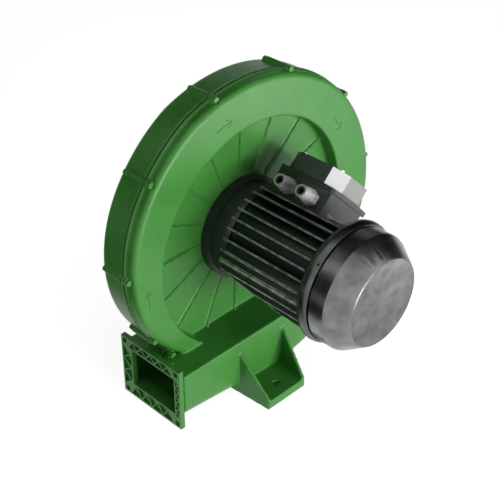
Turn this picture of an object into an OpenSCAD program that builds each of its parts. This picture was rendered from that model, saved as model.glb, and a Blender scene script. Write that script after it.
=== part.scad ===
// Single-stage centrifugal blower driven by a flange motor.
// The shaft lies along Y. The motor is on the -Y side and the inlet on the +Y side.
// +Z is up, and the origin is the centre of the inlet flange's face.

/* [Scroll housing] */
// Outer radius of the main arc of the scroll
scroll_r = 245; // [235:1:260]
// Sideways offset of the main arc from the shaft
scroll_x = 9.5; // [0:0.5:14]
// Upward offset of the main arc from the shaft
scroll_z = 6.4; // [2:0.2:10]
// Radius of the tighter arc that leads into the tongue
tongue_r = 210; // [200:1:220]
// Angle at which the tighter arc leaves the main arc
tongue_angle = 150; // [145:1:155]
// Depth of the front half, from its flat ring to the parting plane
front_depth = 20.5; // [18:0.5:30]
// Depth of the rear half, from the parting plane to its flat back
rear_depth = 47.5; // [44:0.5:60]
// Thickness of the cast walls
wall = 5; // [4:0.5:6]
// Radius of the rounded outer edges
edge_round = 8; // [5:1:10]
// Radius of the recess in the front half
ring_r = 180; // [176:1:184]
// Depth of the recess at its rim
recess_depth = 26; // [20:1:28]
// Depth of the recess at the motor seat
seat_depth = 33; // [30:1:36]
// Thickness of the motor seat
seat_t = 8; // [6:1:9]
// Number of stiffening ribs in the recess
recess_ribs = 17; // [8:1:24]
// Height of the ribs above the recess floor
recess_rib_h = 4; // [1:0.5:4]
// Width of each lip at the parting plane
lip_w = 3.5; // [3:0.5:5]
// Height of the lips above the rim
lip_h = 2.5; // [1.5:0.5:4]
// Thickness of the housing gasket
gasket_t = 0.5; // [0.4:0.1:1]

/* [Outlet duct and feet] */
// Distance from the outlet flange's face to the far side of the main arc
outlet_back = 44.5; // [30:0.5:50]
// Height of the duct's top face above the lowest point of the scroll
duct_h = 95.6; // [90:0.2:100]
// Height of the duct's underside above the lowest point of the scroll, at the outlet
duct_rise = 17.6; // [13:0.2:23]
// How far the duct stands in front of the flat ring
duct_front = 38; // [30:1:44]
// How far the duct stands behind the flat back
duct_rear = 20; // [14:1:24]
// Radius of the duct's lower front edge
duct_round = 20; // [10:1:24]
// Where the front of the duct starts to slope back into the ring
duct_slope_x = 72; // [60:1:90]
// Length of that slope
duct_slope = 80; // [60:1:100]
// Thickness of the outlet flange
outlet_t = 8; // [6:0.5:12]
// Width of the outlet flange along the shaft
outlet_w = 127; // [122:1:140]
// Height of the outlet flange
outlet_h = 107; // [100:1:112]
// Width of the outlet opening
open_w = 92; // [80:1:96]
// Height of the outlet opening
open_h = 65; // [55:1:68]
// Radius of the outlet flange's bolt holes
outlet_hole_r = 4.5; // [3:0.5:5]
// Drop of the feet's underside below the lowest point of the scroll
foot_drop = 1.4; // [1.4:0.2:16]
// Thickness of the foot plates
foot_t = 15; // [10:1:18]
// Reach of the front foot from the duct
foot_front = 59; // [45:1:75]
// Reach of the rear foot from the duct
foot_rear = 50; // [40:1:75]
// Sideways place of the foot bolts
foot_bolt_x = -30; // [-40:1:-20]
// Radius of the foot bolt holes
foot_hole_r = 5.5; // [4:0.5:7]

/* [Housing bolts] */
// Radius of the bolt bosses on the rim
lug_r = 5.2; // [5:0.2:7]
// Distance from the boss axis out to the rim's face
lug_out = 2; // [1:0.5:4]
// Radius of the housing bolts
lug_bolt_r = 2.5; // [2:0.5:3]
// Radial clearance of bolts in their holes
bolt_gap = 0.3; // [0.1:0.1:0.5]

/* [Inlet] */
// Radius of the inlet opening
inlet_r = 60; // [50:1:64]
// Outer radius of the inlet flange
inlet_flange_r = 84; // [80:1:95]
// Length from the flat back of the housing to the inlet face
inlet_neck = 25; // [20:1:30]
// Thickness of the inlet flange and of its base
inlet_t = 7; // [5:1:9]
// Bolt circle radius of the inlet flange
inlet_bolt_circle = 75; // [72:0.5:80]
// Radius of the tapped holes in the inlet flange
inlet_hole_r = 3.4; // [2.5:0.1:4]

/* [Impeller] */
// Outer radius of the impeller
impeller_r = 166; // [120:1:172]
// Width of the blades at the tip
blade_w = 12; // [8:0.5:13]
// Number of blades
blades = 10; // [6:1:14]
// Thickness of the blades
blade_t = 2.5; // [1.5:0.5:4]
// Thickness of the impeller's discs
disc_t = 2.5; // [2:0.5:3]
// Radius of the impeller's hub
hub_r = 24; // [20:1:28]

/* [Motor] */
// Radius of the motor's mounting flange
flange_r = 80; // [76:1:84]
// Bolt circle radius of the mounting flange
flange_bolt_circle = 65; // [62:1:67]
// Thickness of the mounting flange
flange_t = 14; // [12:1:16]
// Radius of the end shields
shield_r = 74; // [71:1:76]
// Radius of the frame's barrel
barrel_r = 68; // [66:1:70]
// Radius of the stator core
stator_r = 61; // [60:0.5:63]
// Radius over the cooling fins
fin_r = 85; // [80:1:87]
// Flat underside of the fins, measured from the shaft
fin_flat = 72; // [70:1:80]
// Thickness of the fins
fin_t = 2.6; // [1.6:0.2:4]
// Pitch of the fins
fin_pitch = 15.5; // [14:0.5:15.5]
// Length of the finned frame
frame_l = 148; // [140:1:160]
// Radius of the shaft in the bearings
shaft_r = 12.5; // [12.5:0.5:12.5]
// Radius of the shaft end in the hub
shaft_end_r = 12; // [11:0.5:12]
// Air gap between rotor and stator
air_gap = 0.4; // [0.3:0.1:1]
// Length of the rotor and stator cores
core_l = 80; // [60:1:90]
// Running clearance of the rolling and turning pieces
run_gap = 0.05; // [0.03:0.01:0.1]

/* [Fan cowl] */
// Radius of the cowl's rear ring
ring_out_r = 92; // [90:1:96]
// Radius of the cowl's cylindrical band
cowl_r = 87; // [86:0.5:89]
// Length of the rear ring
cowl_ring_l = 18; // [14:1:22]
// Width of the air gap between the ring and the cowl
air_slot = 2.5; // [2:0.5:4]
// Length of the cylindrical band
cowl_band_l = 28; // [24:1:36]
// Length of the cone
cowl_cone_l = 29; // [24:1:36]
// Radius of the closed end
cowl_end_r = 67; // [60:1:72]
// Thickness of the cowl's sheet
cowl_t = 1.6; // [1:0.2:3]
// Outer radius of the cooling fan
fan_r = 74; // [60:1:78]

/* [Terminal box] */
// Angle of the terminal box round the shaft
box_angle = 45; // [30:1:60]
// Length of the box along the shaft
box_l = 100; // [90:1:104]
// Width of the box
box_w = 94; // [84:1:98]
// Height of the box's foot above the shaft
box_foot = 70; // [69:1:72]
// Height of the box's upper rim above the shaft
box_rim = 103; // [98:1:108]
// Height of the lid
lid_h = 26; // [18:1:32]
// Cut corners of the lid
lid_chamfer = 21; // [10:1:26]
// Thickness of the box walls
box_wall = 3.5; // [2.5:0.5:5]
// Radius of the gland's thread
gland_thread_r = 8; // [6:0.5:9]
// Radius of the cable entry in a gland
gland_bore_r = 4; // [3:0.5:5]
// Distance between the glands
gland_pitch = 40; // [34:1:44]

/* [Hidden] */
$fn = 72;

// Sizes that follow the scroll, measured from the shaft
scroll_low = scroll_r - scroll_z;
shaft_height = scroll_low + foot_drop;
duct_top = scroll_low - duct_h;
duct_low = scroll_low - duct_rise;
outlet_x = scroll_r - scroll_x - outlet_back;

// Overlap for cuts, and the play between pieces
eps = 0.5;
seat_gap = 0.1;
fit_gap = 0.05;
far = 600;

// Step between two arcs that would otherwise only touch
joint_step = 0.1;

// How far the cut of the duct's slope runs past the duct's face, and below the flat faces
slope_over = 10;
slope_under = edge_round + 1;

// Places along the shaft, from the inlet face towards the motor
back_y = -inlet_neck;
parting_y = back_y - rear_depth;
face_y = parting_y - front_depth;
duct_front_y = face_y - duct_front;
duct_rear_y = back_y + duct_rear;
seat_y = face_y + seat_depth;
seat_back_y = seat_y + seat_t;
shield_l = 44;
frame_y = seat_y - shield_l;
frame_end_y = frame_y - frame_l;
cowl_ring_y = frame_end_y - 3;
slot_y = cowl_ring_y - cowl_ring_l;
band_y = slot_y - air_slot;
cone_y = band_y - cowl_band_l;
cowl_end_y = cone_y - cowl_cone_l;

// Housing details
recess_rib_t = 2.4;
recess_rib_turn = 155.9;
seat_hole_r = 38;
foot_left = -70;
foot_front_right = 8;
foot_rear_right = 60;
foot_spread = 14;
foot_root = 20;
gusset_t = 5;
gusset_drop = 20;
foot_front_bolt_y = duct_front_y - foot_front + 24;
foot_rear_bolt_y = duct_rear_y + foot_rear - 22;

// Outlet flange
outlet_mid_y = duct_front_y + 2 + outlet_w / 2;
outlet_above = 11;
outlet_mid_z = outlet_above - duct_top - outlet_h / 2;
open_shift = -5.5;
spigot_l = 14;
spigot_t = 2;
open_mid_z = -duct_top - wall - spigot_t - fit_gap - open_h / 2;
outlet_pitch_y = outlet_w - 15.5;
outlet_pitch_z = outlet_h - 15;
outlet_screw_step = 28;
outlet_screw_r = 2.2;
pocket_depth = 4;
pocket_web = 1.6;

// Inlet
inlet_bolts = 6;
inlet_screw_turn = 30;
inlet_screw_circle = inlet_bolt_circle + 3;
inlet_screw_r = 3;
neck_r = inlet_r + 5;
nozzle_r = inlet_r + 3;
nozzle_y = back_y - wall - 4.5;

// Impeller, in the space between the motor seat and the back
backplate_y = seat_back_y + 4;
blade_y = backplate_y + disc_t;
tip_y = blade_y + blade_w;
eye_r = nozzle_r + 1;
blade_root_r = eye_r + 4;
blade_from = [blade_root_r, 0];
blade_to = (impeller_r - 1) * [cos(40), sin(40)];
blade_chord = blade_to - blade_from;
blade_arc = 0.9 * norm(blade_chord);
blade_in = sqrt(blade_arc * blade_arc / pow(norm(blade_chord), 2) - 0.25);
blade_c = (blade_from + blade_to) / 2 + blade_in * [-blade_chord[1], blade_chord[0]];
hub_l = 32;
hub_flange_r = hub_r + 9;
hub_end_y = blade_y + hub_l;
washer_r = 19;
washer_t = 4;
shaft_end_y = hub_end_y - 2;
impeller_screw_r = 4;
rivets = 6;
rivet_circle = hub_r + 4.5;
rivet_r = 2;
key_w = 8;
key_h = 7;
key_top = shaft_end_r + 3.3;

// Scroll centres in the plane across the shaft
main_c = [scroll_x, scroll_z];
tongue_c = main_c + (scroll_r - tongue_r) * [cos(tongue_angle), sin(tongue_angle)];
duct_end_x = outlet_t - outlet_x;
crown_c = main_c + [-13.5, -20.4];
crown_r = scroll_r + 12;
corner = [duct_end_x, -duct_low];
corner_v = corner - main_c;
run_r = scroll_r - joint_step;
run_angle = 360 + atan2(corner_v[1], corner_v[0]) + acos(run_r / norm(corner_v));
run_foot = main_c + run_r * [cos(run_angle), sin(run_angle)];
run_l = norm(corner - run_foot) + 30;

// Bolt bosses: angles round each of the three arcs, and two on the duct
lug_crown_angles = [8.7, 39.7, 72.4, 104.4];
lug_main_angles = [142.4, 297, 330.5];
lug_tongue_angles = [179.7, 214.8];
lug_duct_x = duct_end_x + 20;
lug_low_x = duct_end_x + 42;
lug_low_z = run_foot[1] + (run_foot[0] - lug_low_x) * tan(270 - run_angle) - 3;
lug_points = concat([for (a = lug_crown_angles) crown_c + (crown_r + lug_out) * [cos(a), sin(a)]],
    [for (a = lug_main_angles) main_c + (scroll_r + lug_out) * [cos(a), sin(a)]],
    [for (a = lug_tongue_angles) tongue_c + (tongue_r + lug_out) * [cos(a), sin(a)]],
    [[lug_duct_x, lug_r - 1.7 - duct_top], [lug_low_x, lug_low_z]]);
lug_front_y = parting_y - 10.5;
lug_back_y = parting_y + 34.5;
lug_head_r = 4.4;
lug_head_h = 3.5;
lug_nut_h = 4;
lug_nut_r = 4.6;

// Bearings, each given by its face towards the inlet
bearing_w = 15;
bearing_out_r = 26;
bearing_in_r = shaft_r + 0.02;
race_out_r = 22.6;
race_in_r = 16.4;
ball_pitch_r = 19.5;
ball_r = 3.95;
balls = 9;
cage_t = 2.4;
cage_w = 9.6;
drive_bearing_y = seat_y - 20;
fan_bearing_y = frame_end_y + 12;
spring_t = 2;

// Motor pieces
seal_r = 20;
register_l = 6;
flange_bolt_r = 3.9;
flange_head_r = 6.5;
flange_head_h = 4.4;
rim_l = 4;
rotor_r = 38;
shaft_mid_r = 16;
core_y = (frame_y + frame_end_y + core_l) / 2 + 6;
end_ring_t = 10;
winding_l = 18;
slots = 24;
slot_w = 4;
slot_depth = 12;
fan_shield_t = 12;
shield_screw_circle = 66;
shield_screw_r = 2.5;
shield_head_r = 4.4;
shield_boss_r = 6;
fin_places = [-58, -3 * fin_pitch, -2 * fin_pitch, -fin_pitch, 0, fin_pitch, 2 * fin_pitch,
    3 * fin_pitch, 58];
lead_hole_r = 11;

// Fan and cowl
fan_shaft_r = 9;
fan_hub_r = 16;
fan_y = slot_y - 6;
fan_l = 28;
circlip_y = fan_y - fan_l - 0.2;
shaft_tail_y = circlip_y - 6;
collar_r = cowl_r - 3;
web_t = 3;
cowl_web_r = 40;
cowl_web_circle = 62;
cowl_web_y = frame_end_y - fan_shield_t - seat_gap;
collar_y = cowl_web_y - web_t - 0.3;
collar_screw_y = (collar_y + slot_y) / 2;
cowl_screw_r = 1.6;
windows = 12;
window_w = 20;

// Terminal box, in the turned frame of the motor: x away from the shaft, z towards the glands
box_y = face_y - 12;
box_mid_y = box_y - box_l / 2;
box_skirt = 61;
pad_w = 62;
trench_w = 8.5;
gland_h = 77;
gland_l = 33;
gland_hex_r = 12.5;
gland_seal_r = gland_thread_r - 1.5;
gland_y1 = box_mid_y + gland_pitch / 2 - 4;
gland_y2 = box_mid_y - gland_pitch / 2 - 4;
gland_nut_z = 7.2;
lid_y = box_rim + 1;
lid_t = 3;
lid_screw_in = 15;
lid_screw_r = 2;
lid_post_r = 6;
board_x = box_foot + 12;
board_t = 6;
board_l = 60;
board_w = 36;
stud_pitch = 18;
stud_r = 2;
stud_l = 12;
link_t = 1.2;

// Child along Z is laid along +Y, keeping angles in the XZ plane
module lay(y0, y1) {
    translate([0, max(y0, y1), 0]) rotate([90, 0, 0]) linear_extrude(abs(y1 - y0)) children();
}

// Round bar along Y
module rod(r, y0, y1, c = [0, 0], f = 72) {
    translate([c[0], max(y0, y1), c[1]]) rotate([90, 0, 0]) cylinder(r = r, h = abs(y1 - y0), $fn = f);
}

// Tube along Y
module tube(r_out, r_in, y0, y1, c = [0, 0]) {
    difference() {
        rod(r_out, y0, y1, c);
        rod(r_in, min(y0, y1) - eps, max(y0, y1) + eps, c);
    }
}

// Turned shape about the Y axis from points [radius, y]
module turned(points, c = [0, 0]) {
    translate([c[0], 0, c[1]]) rotate([90, 0, 0]) rotate_extrude() polygon([for (p = points) [p[0], -p[1]]]);
}

// Turns its child about the shaft, from +X towards +Z
module spin(a) {
    rotate([0, -a, 0]) children();
}

// Copies at equal angles round the shaft
module ring_of(n, r, start = 0) {
    for (i = [0:n - 1]) spin(start + i * 360 / n) translate([r, 0, 0]) children();
}

// Hexagon bar along Y
module hex_bar(across, y0, y1, c = [0, 0]) {
    rod(across / sqrt(3), y0, y1, c, 6);
}

// Solid disc with a rounded front edge and a rounded back edge
function disc_points(r, y0, y1, round0, round1) = concat([[0, y0]],
    round0 > 0 ? [for (i = [0:6]) [r - round0 + round0 * sin(i * 15), y0 + round0 - round0 * cos(i * 15)]]
        : [[r, y0]],
    round1 > 0 ? [for (i = [0:6]) [r - round1 + round1 * cos(i * 15), y1 - round1 + round1 * sin(i * 15)]]
        : [[r, y1]],
    [[0, y1]]);

// Everything on the tongue's side of the main arc
module tongue_side() {
    lay(-far, far) polygon([main_c, main_c + far * [cos(tongue_angle), sin(tongue_angle)],
        [-far, -far], [main_c[0], -far]]);
}

// Disc that follows the scroll's outline, grown or shrunk by an amount
module scroll_disc(grow, y0, y1, round0 = 0, round1 = 0) {
    intersection() {
        union() {
            difference() {
                turned(disc_points(scroll_r + grow, y0, y1, round0, round1), main_c);
                tongue_side();
            }
            intersection() {
                turned(disc_points(tongue_r + grow - joint_step, y0, y1, round0, round1), tongue_c);
                tongue_side();
            }
        }
        turned(disc_points(crown_r + grow, y0 - joint_step, y1 + joint_step, round0, round1), crown_c);
    }
}

// Duct from the bottom of the scroll to the outlet, grown or shrunk by an amount
module duct_bar(grow, y0, y1, round0 = 0, round1 = 0) {
    section = [for (p = disc_points(scroll_r + grow, y0, y1, round0, round1)) [p[1], scroll_r - p[0]]];
    intersection() {
        union() {
            turned(disc_points(scroll_r + grow, y0 + joint_step, y1 - joint_step, round0, round1), main_c);
            translate([run_foot[0], 0, run_foot[1]]) spin(run_angle - 270) translate([-run_l, 0, 0])
                rotate([90, 0, 90]) linear_extrude(run_l) polygon(section);
        }
        translate([duct_end_x - (grow < 0 ? 1 : 0), y0 - 1, -far])
            cube([far, y1 - y0 + 2, far - duct_top + grow]);
    }
}

// Lip round the rim at the parting plane, kept off the ground
module rim_lip(y0, y1) {
    difference() {
        scroll_disc(lip_h, y0, y1);
        translate([-far, -far, 1 - shaft_height - far]) cube([2 * far, 2 * far, far]);
    }
}

// Space that is cut away where the duct slopes back and runs out below a flat face, at the front or at the rear
module slope_cut(from_y, to_y, shift) {
    side = from_y < to_y ? 1 : -1;
    pitch = duct_slope / abs(to_y - from_y);
    start_x = duct_slope_x + shift;
    end_x = start_x + duct_slope;
    start_y = from_y - side * shift;
    end_y = to_y - side * shift;
    translate([0, 0, -far]) linear_extrude(far) polygon([[start_x - pitch * slope_over, start_y - side * slope_over],
        [end_x + pitch * slope_under, end_y + side * slope_under], [far, end_y + side * slope_under],
        [far, start_y - side * slope_over]]);
}

// Duct with a round on its front, up to the plane y1
module duct_bulge(grow, y0, y1, round) {
    difference() {
        duct_bar(grow, y0, y1, round);
        slope_cut(duct_front_y, face_y, grow);
    }
}

// Duct with a round on its rear, from the plane y0
module duct_back(grow, y0, y1, round) {
    difference() {
        duct_bar(grow, y0, y1, 0, round);
        slope_cut(duct_rear_y, back_y, grow);
    }
}

// Foot plate with two gussets, from under the duct's wall at y0 to its end at y1
module foot(y0, y1, near_right) {
    root = y1 > y0 ? y0 - foot_root : y0 + foot_root;
    wall_right = near_right + foot_spread;
    translate([0, 0, -shaft_height]) linear_extrude(foot_t)
        polygon([[foot_left - 4, root], [wall_right, root], [near_right, y1], [foot_left, y1]]);
    foot_gusset([foot_left - 4 + gusset_t / 2, y0], [foot_left + gusset_t / 2, y1]);
    foot_gusset([wall_right - gusset_t / 2, y0], [near_right - gusset_t / 2, y1]);
}

// Upright web from a point at the wall to a point at the plate's end, with a root inside the wall
module foot_gusset(a, b) {
    v = b - a;
    top = shaft_height - duct_top - gusset_drop;
    translate([a[0], a[1], -shaft_height]) rotate([0, 0, atan2(v[1], v[0])])
        translate([0, gusset_t / 2, 0]) rotate([90, 0, 0]) linear_extrude(gusset_t)
        polygon([[-foot_root, 0], [norm(v), 0], [norm(v), foot_t + 2], [0, top], [-foot_root, top]]);
}

// Bolt bosses across the parting plane
module lugs(y0, y1) {
    for (p = lug_points) rod(lug_r, y0, y1, p, 24);
}

module lug_holes(y0, y1) {
    for (p = lug_points) rod(lug_bolt_r + bolt_gap, y0, y1, p, 24);
}

// Room for the heads and the nuts where they are let into the rim
module lug_head_spots() {
    for (p = lug_points) rod(lug_head_r + bolt_gap, lug_front_y - lug_head_h - 2, lug_front_y, p, 24);
}

module lug_nut_spots() {
    for (p = lug_points) rod(lug_nut_r + bolt_gap, lug_back_y, lug_back_y + lug_nut_h + 2, p, 24);
}

// Places of the screws that hold the outlet flange's spigot in the duct
module outlet_screw_places() {
    for (y = [outlet_mid_y - outlet_screw_step, outlet_mid_y + outlet_screw_step])
        translate([duct_end_x + spigot_l / 2 + 1, y, -duct_top]) children();
}

// Sunk floor of the front half, from the ring to the motor seat, with its radial ribs
module recess_floor() {
    turned([[ring_r, face_y], [ring_r, face_y + recess_depth - 4], [ring_r - 4, face_y + recess_depth],
        [flange_r + 3, seat_y], [seat_hole_r, seat_y], [seat_hole_r, seat_back_y],
        [flange_r + 6, seat_back_y], [ring_r - 4, face_y + recess_depth + wall],
        [ring_r + wall, face_y + recess_depth - 2], [ring_r + wall, face_y]]);
    intersection() {
        ring_of(recess_ribs, 0, recess_rib_turn) translate([flange_r + 2, face_y + recess_depth - 8, -recess_rib_t / 2])
            cube([ring_r - flange_r + 1, seat_depth, recess_rib_t]);
        turned([[flange_r + 2, seat_y - recess_rib_h], [ring_r + 1, face_y + recess_depth - recess_rib_h - 1],
            [ring_r + 1, face_y + recess_depth + 2], [flange_r + 2, seat_y + 2]]);
    }
}

// Child down to the duct's top face, or to a depth below it
module above_duct(depth = 0) {
    intersection() {
        children();
        translate([-far, -far, -duct_top - depth]) cube(2 * far);
    }
}

// Part of the duct's top wall that runs back through the recess to its floor
module recess_shelf() {
    intersection() {
        rod(ring_r + wall / 2, parting_y - 3, seat_y);
        translate([-far, parting_y - 2, -duct_top - wall])
            cube([2 * far, face_y + recess_depth + 4 - parting_y + 2, wall]);
    }
}

// Space inside the front half: the scroll round the recess, and the duct below it
module front_space() {
    difference() {
        scroll_disc(-wall, face_y + wall, parting_y + 2);
        above_duct(wall) rod(ring_r + wall - eps, face_y, parting_y + 3);
    }
    duct_bulge(-wall, duct_front_y + wall, parting_y + 3, duct_round - wall);
}

// Front half of the housing, with the motor seat and the front foot
module front_housing() {
    color("forestgreen") difference() {
        union() {
            difference() {
                union() {
                    scroll_disc(0, face_y, parting_y + 1, edge_round);
                    rim_lip(parting_y - lip_w, parting_y + 1);
                    duct_bulge(0, duct_front_y, parting_y + 1, duct_round);
                    lugs(lug_front_y, parting_y + 1);
                    foot(duct_front_y, duct_front_y - foot_front, foot_front_right);
                }
                above_duct() rod(ring_r, face_y, parting_y + 2);
                front_space();
                translate([-far, parting_y - gasket_t / 2, -far]) cube(2 * far);
            }
            above_duct(wall) recess_floor();
            recess_shelf();
        }
        translate([foot_bolt_x, foot_front_bolt_y, -shaft_height - 1])
            cylinder(r = foot_hole_r, h = foot_t + 2);
        lug_holes(lug_front_y - 1, parting_y + 1);
        lug_head_spots();
        ring_of(4, flange_bolt_circle, 45) rod(flange_bolt_r + bolt_gap, seat_y - 1, seat_back_y + 1, f = 24);
        ring_of(4, flange_bolt_circle, 45)
            rod(flange_head_r + bolt_gap, seat_back_y - flange_head_h, seat_back_y + 1, f = 24);
        outlet_screw_places() translate([0, 0, -wall - 1])
            cylinder(r = outlet_screw_r + bolt_gap, h = wall + 2, $fn = 24);
    }
}

// Rear half of the housing, with the seat of the inlet flange and the rear foot
module rear_housing() {
    color("forestgreen") difference() {
        union() {
            scroll_disc(0, parting_y - 1, back_y, 0, edge_round);
            rim_lip(parting_y - 1, parting_y + lip_w);
            duct_back(0, parting_y - 1, duct_rear_y, edge_round);
            lugs(parting_y - 1, lug_back_y);
            foot(duct_rear_y, duct_rear_y + foot_rear, foot_rear_right);
        }
        translate([-far, parting_y + gasket_t / 2 - 2 * far, -far]) cube(2 * far);
        scroll_disc(-wall, parting_y - 2, back_y - wall);
        duct_back(-wall, parting_y - 3, duct_rear_y - wall, edge_round - 3);
        rod(neck_r, parting_y, back_y + 1);
        translate([foot_bolt_x, foot_rear_bolt_y, -shaft_height - 1])
            cylinder(r = foot_hole_r, h = foot_t + 2);
        lug_holes(parting_y - 1, lug_back_y + 1);
        lug_nut_spots();
        ring_of(inlet_bolts, inlet_screw_circle, inlet_screw_turn)
            rod(inlet_screw_r, back_y - wall - 1, back_y + 1, f = 24);
        outlet_screw_places() translate([0, 0, -wall - 1])
            cylinder(r = outlet_screw_r + bolt_gap, h = wall + 2, $fn = 24);
    }
}

module housing_gasket() {
    color("dimgray") difference() {
        union() {
            rim_lip(parting_y - gasket_t / 2, parting_y + gasket_t / 2);
            duct_bar(0, parting_y - gasket_t / 2, parting_y + gasket_t / 2);
        }
        scroll_disc(-wall, parting_y - 1, parting_y + 1);
        duct_bar(-wall, parting_y - 1, parting_y + 1);
        lug_holes(parting_y - 1, parting_y + 1);
    }
}

module housing_bolts() {
    color("silver") for (p = lug_points) {
        rod(lug_bolt_r, lug_front_y - 1, lug_back_y + lug_nut_h + 1, p, 24);
        rod(lug_head_r, lug_front_y - lug_head_h, lug_front_y, p, 24);
    }
}

module housing_nuts() {
    color("silver") for (p = lug_points) difference() {
        rod(lug_nut_r, lug_back_y, lug_back_y + lug_nut_h, p, 6);
        rod(lug_bolt_r + fit_gap, lug_back_y - 1, lug_back_y + lug_nut_h + 1, p, 24);
    }
}

// Spigot that fits the inside of the duct's end, shrunk by an amount
module spigot(shrink) {
    intersection() {
        duct_bar(-wall - shrink, duct_front_y + wall + shrink, duct_rear_y - wall - shrink,
            duct_round - wall - shrink, edge_round - 3 - shrink);
        translate([duct_end_x - 1, duct_front_y, -far]) cube([spigot_l + 1, outlet_w, far]);
    }
}

// Row of triangles that point up and down in turn, as in a truss
module truss(length, height, count) {
    step = length / (count + 1);
    web = pocket_web;
    for (i = [0:count - 1]) translate([i * step, 0])
        polygon(i % 2 == 0 ? [[web, 0], [2 * step - web, 0], [step, height - web]]
            : [[web, height], [step, web], [2 * step - web, height]]);
}

// Pockets in the bands of the outlet flange between its rim and its opening
module outlet_pockets() {
    y0 = outlet_mid_y - outlet_w / 2;
    y1 = outlet_mid_y + outlet_w / 2;
    z0 = outlet_mid_z - outlet_h / 2;
    z1 = outlet_mid_z + outlet_h / 2;
    open_y0 = outlet_mid_y + open_shift - open_w / 2;
    open_y1 = outlet_mid_y + open_shift + open_w / 2;
    open_z0 = open_mid_z - open_h / 2;
    open_z1 = open_mid_z + open_h / 2;
    inset = outlet_w - outlet_pitch_y;
    translate([-outlet_x - eps, 0, 0]) rotate([90, 0, 90]) linear_extrude(pocket_depth + eps) {
        translate([y0 + inset, open_z1 + 3]) truss(outlet_w - 2 * inset, z1 - open_z1 - 6, 9);
        translate([y0 + inset, z0 + 3]) truss(outlet_w - 2 * inset, open_z0 - z0 - 6, 7);
        translate([y1 - 3, z0 + inset]) rotate(90) truss(outlet_h - 2 * inset, y1 - open_y1 - 6, 5);
        translate([open_y0 - 3, z0 + inset]) rotate(90) truss(outlet_h - 2 * inset, open_y0 - y0 - 6, 9);
    }
}

// Plate with a spigot in the duct's end; its face is lightened by triangular pockets
module outlet_flange() {
    color("forestgreen") difference() {
        union() {
            translate([-outlet_x, outlet_mid_y - outlet_w / 2, outlet_mid_z - outlet_h / 2])
                cube([outlet_t, outlet_w, outlet_h]);
            difference() {
                spigot(fit_gap);
                translate([2, 0, 0]) spigot(spigot_t + fit_gap);
                translate([1, 0, 0]) spigot(spigot_t + fit_gap);
            }
        }
        translate([-outlet_x - 1, outlet_mid_y + open_shift - open_w / 2, open_mid_z - open_h / 2])
            cube([outlet_t + spigot_l + 2, open_w, open_h]);
        for (y = [-1, 1], z = [-1, 1])
            translate([-outlet_x - 1, outlet_mid_y + y * outlet_pitch_y / 2, outlet_mid_z + z * outlet_pitch_z / 2])
                rotate([0, 90, 0]) cylinder(r = outlet_hole_r, h = outlet_t + 2, $fn = 36);
        outlet_pockets();
        outlet_screw_places() translate([0, 0, -wall - spigot_t - 1])
            cylinder(r = outlet_screw_r, h = spigot_t + 2, $fn = 24);
    }
}

module outlet_flange_screws() {
    color("silver") outlet_screw_places() {
        translate([0, 0, -wall - spigot_t])
            cylinder(r = outlet_screw_r - fit_gap, h = wall + spigot_t + 1, $fn = 24);
        cylinder(r = 2 * outlet_screw_r, h = 2.4, $fn = 24);
    }
}

// Spool-shaped inlet: base ring, neck, connecting flange and the nozzle that reaches into the impeller
module inlet_flange() {
    color("forestgreen") difference() {
        turned([[inlet_r, 0], [inlet_flange_r, 0], [inlet_flange_r, -inlet_t], [neck_r + 1, -inlet_t],
            [neck_r + 1, back_y + inlet_t], [inlet_flange_r, back_y + inlet_t], [inlet_flange_r, back_y],
            [neck_r - fit_gap, back_y], [neck_r - fit_gap, back_y - wall], [nozzle_r, back_y - wall],
            [nozzle_r, nozzle_y], [inlet_r, nozzle_y]]);
        ring_of(inlet_bolts, inlet_bolt_circle) rod(inlet_hole_r, -inlet_t - 1, 1);
        ring_of(inlet_bolts, inlet_screw_circle, inlet_screw_turn)
            rod(inlet_screw_r + bolt_gap, back_y - 1, back_y + inlet_t + 1, f = 24);
    }
}

module inlet_screws() {
    color("silver") ring_of(inlet_bolts, inlet_screw_circle, inlet_screw_turn) {
        rod(inlet_screw_r - fit_gap, back_y - wall, back_y + inlet_t, f = 24);
        hex_bar(10, back_y + inlet_t, back_y + inlet_t + 4);
    }
}

module impeller_backplate() {
    color("gainsboro") difference() {
        tube(impeller_r, shaft_end_r + 1, backplate_y, blade_y);
        ring_of(rivets, rivet_circle) rod(rivet_r, backplate_y - 1, blade_y + 1, f = 24);
    }
}

// Backward-leaning blades, each a strip of a round shell between the two discs
module impeller_blades() {
    color("gainsboro") ring_of(blades, 0) intersection() {
        tube(blade_arc + blade_t / 2, blade_arc - blade_t / 2, blade_y, tip_y, blade_c);
        tube(impeller_r - 1, blade_root_r, blade_y - 1, tip_y + 1);
        translate([0, blade_y - 1, -far]) cube([far, blade_w + 2, 2 * far]);
    }
}

module impeller_shroud() {
    color("gainsboro") tube(impeller_r, eye_r, tip_y, tip_y + disc_t);
}

module impeller_hub() {
    color("silver") difference() {
        union() {
            rod(hub_r, blade_y, hub_end_y);
            rod(hub_flange_r, blade_y, blade_y + 4);
        }
        rod(shaft_end_r + fit_gap, blade_y - 1, hub_end_y + 1);
        translate([-key_w / 2 - fit_gap, blade_y - 1, 0]) cube([key_w + 2 * fit_gap, hub_l + 2, key_top + fit_gap]);
        ring_of(rivets, rivet_circle) rod(rivet_r, blade_y - 1, blade_y + 5, f = 24);
    }
}

module impeller_rivets() {
    color("silver") ring_of(rivets, rivet_circle) {
        rod(rivet_r - fit_gap, backplate_y, blade_y + 4, f = 24);
        rod(1.7 * rivet_r, backplate_y - 1.5, backplate_y, f = 24);
        rod(1.7 * rivet_r, blade_y + 4, blade_y + 5.5, f = 24);
    }
}

module impeller_key() {
    color("silver") translate([-key_w / 2, blade_y + 1, key_top - key_h]) cube([key_w, hub_l - 4, key_h]);
}

module impeller_washer() {
    color("silver") tube(washer_r, impeller_screw_r + bolt_gap, hub_end_y, hub_end_y + washer_t);
}

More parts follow.
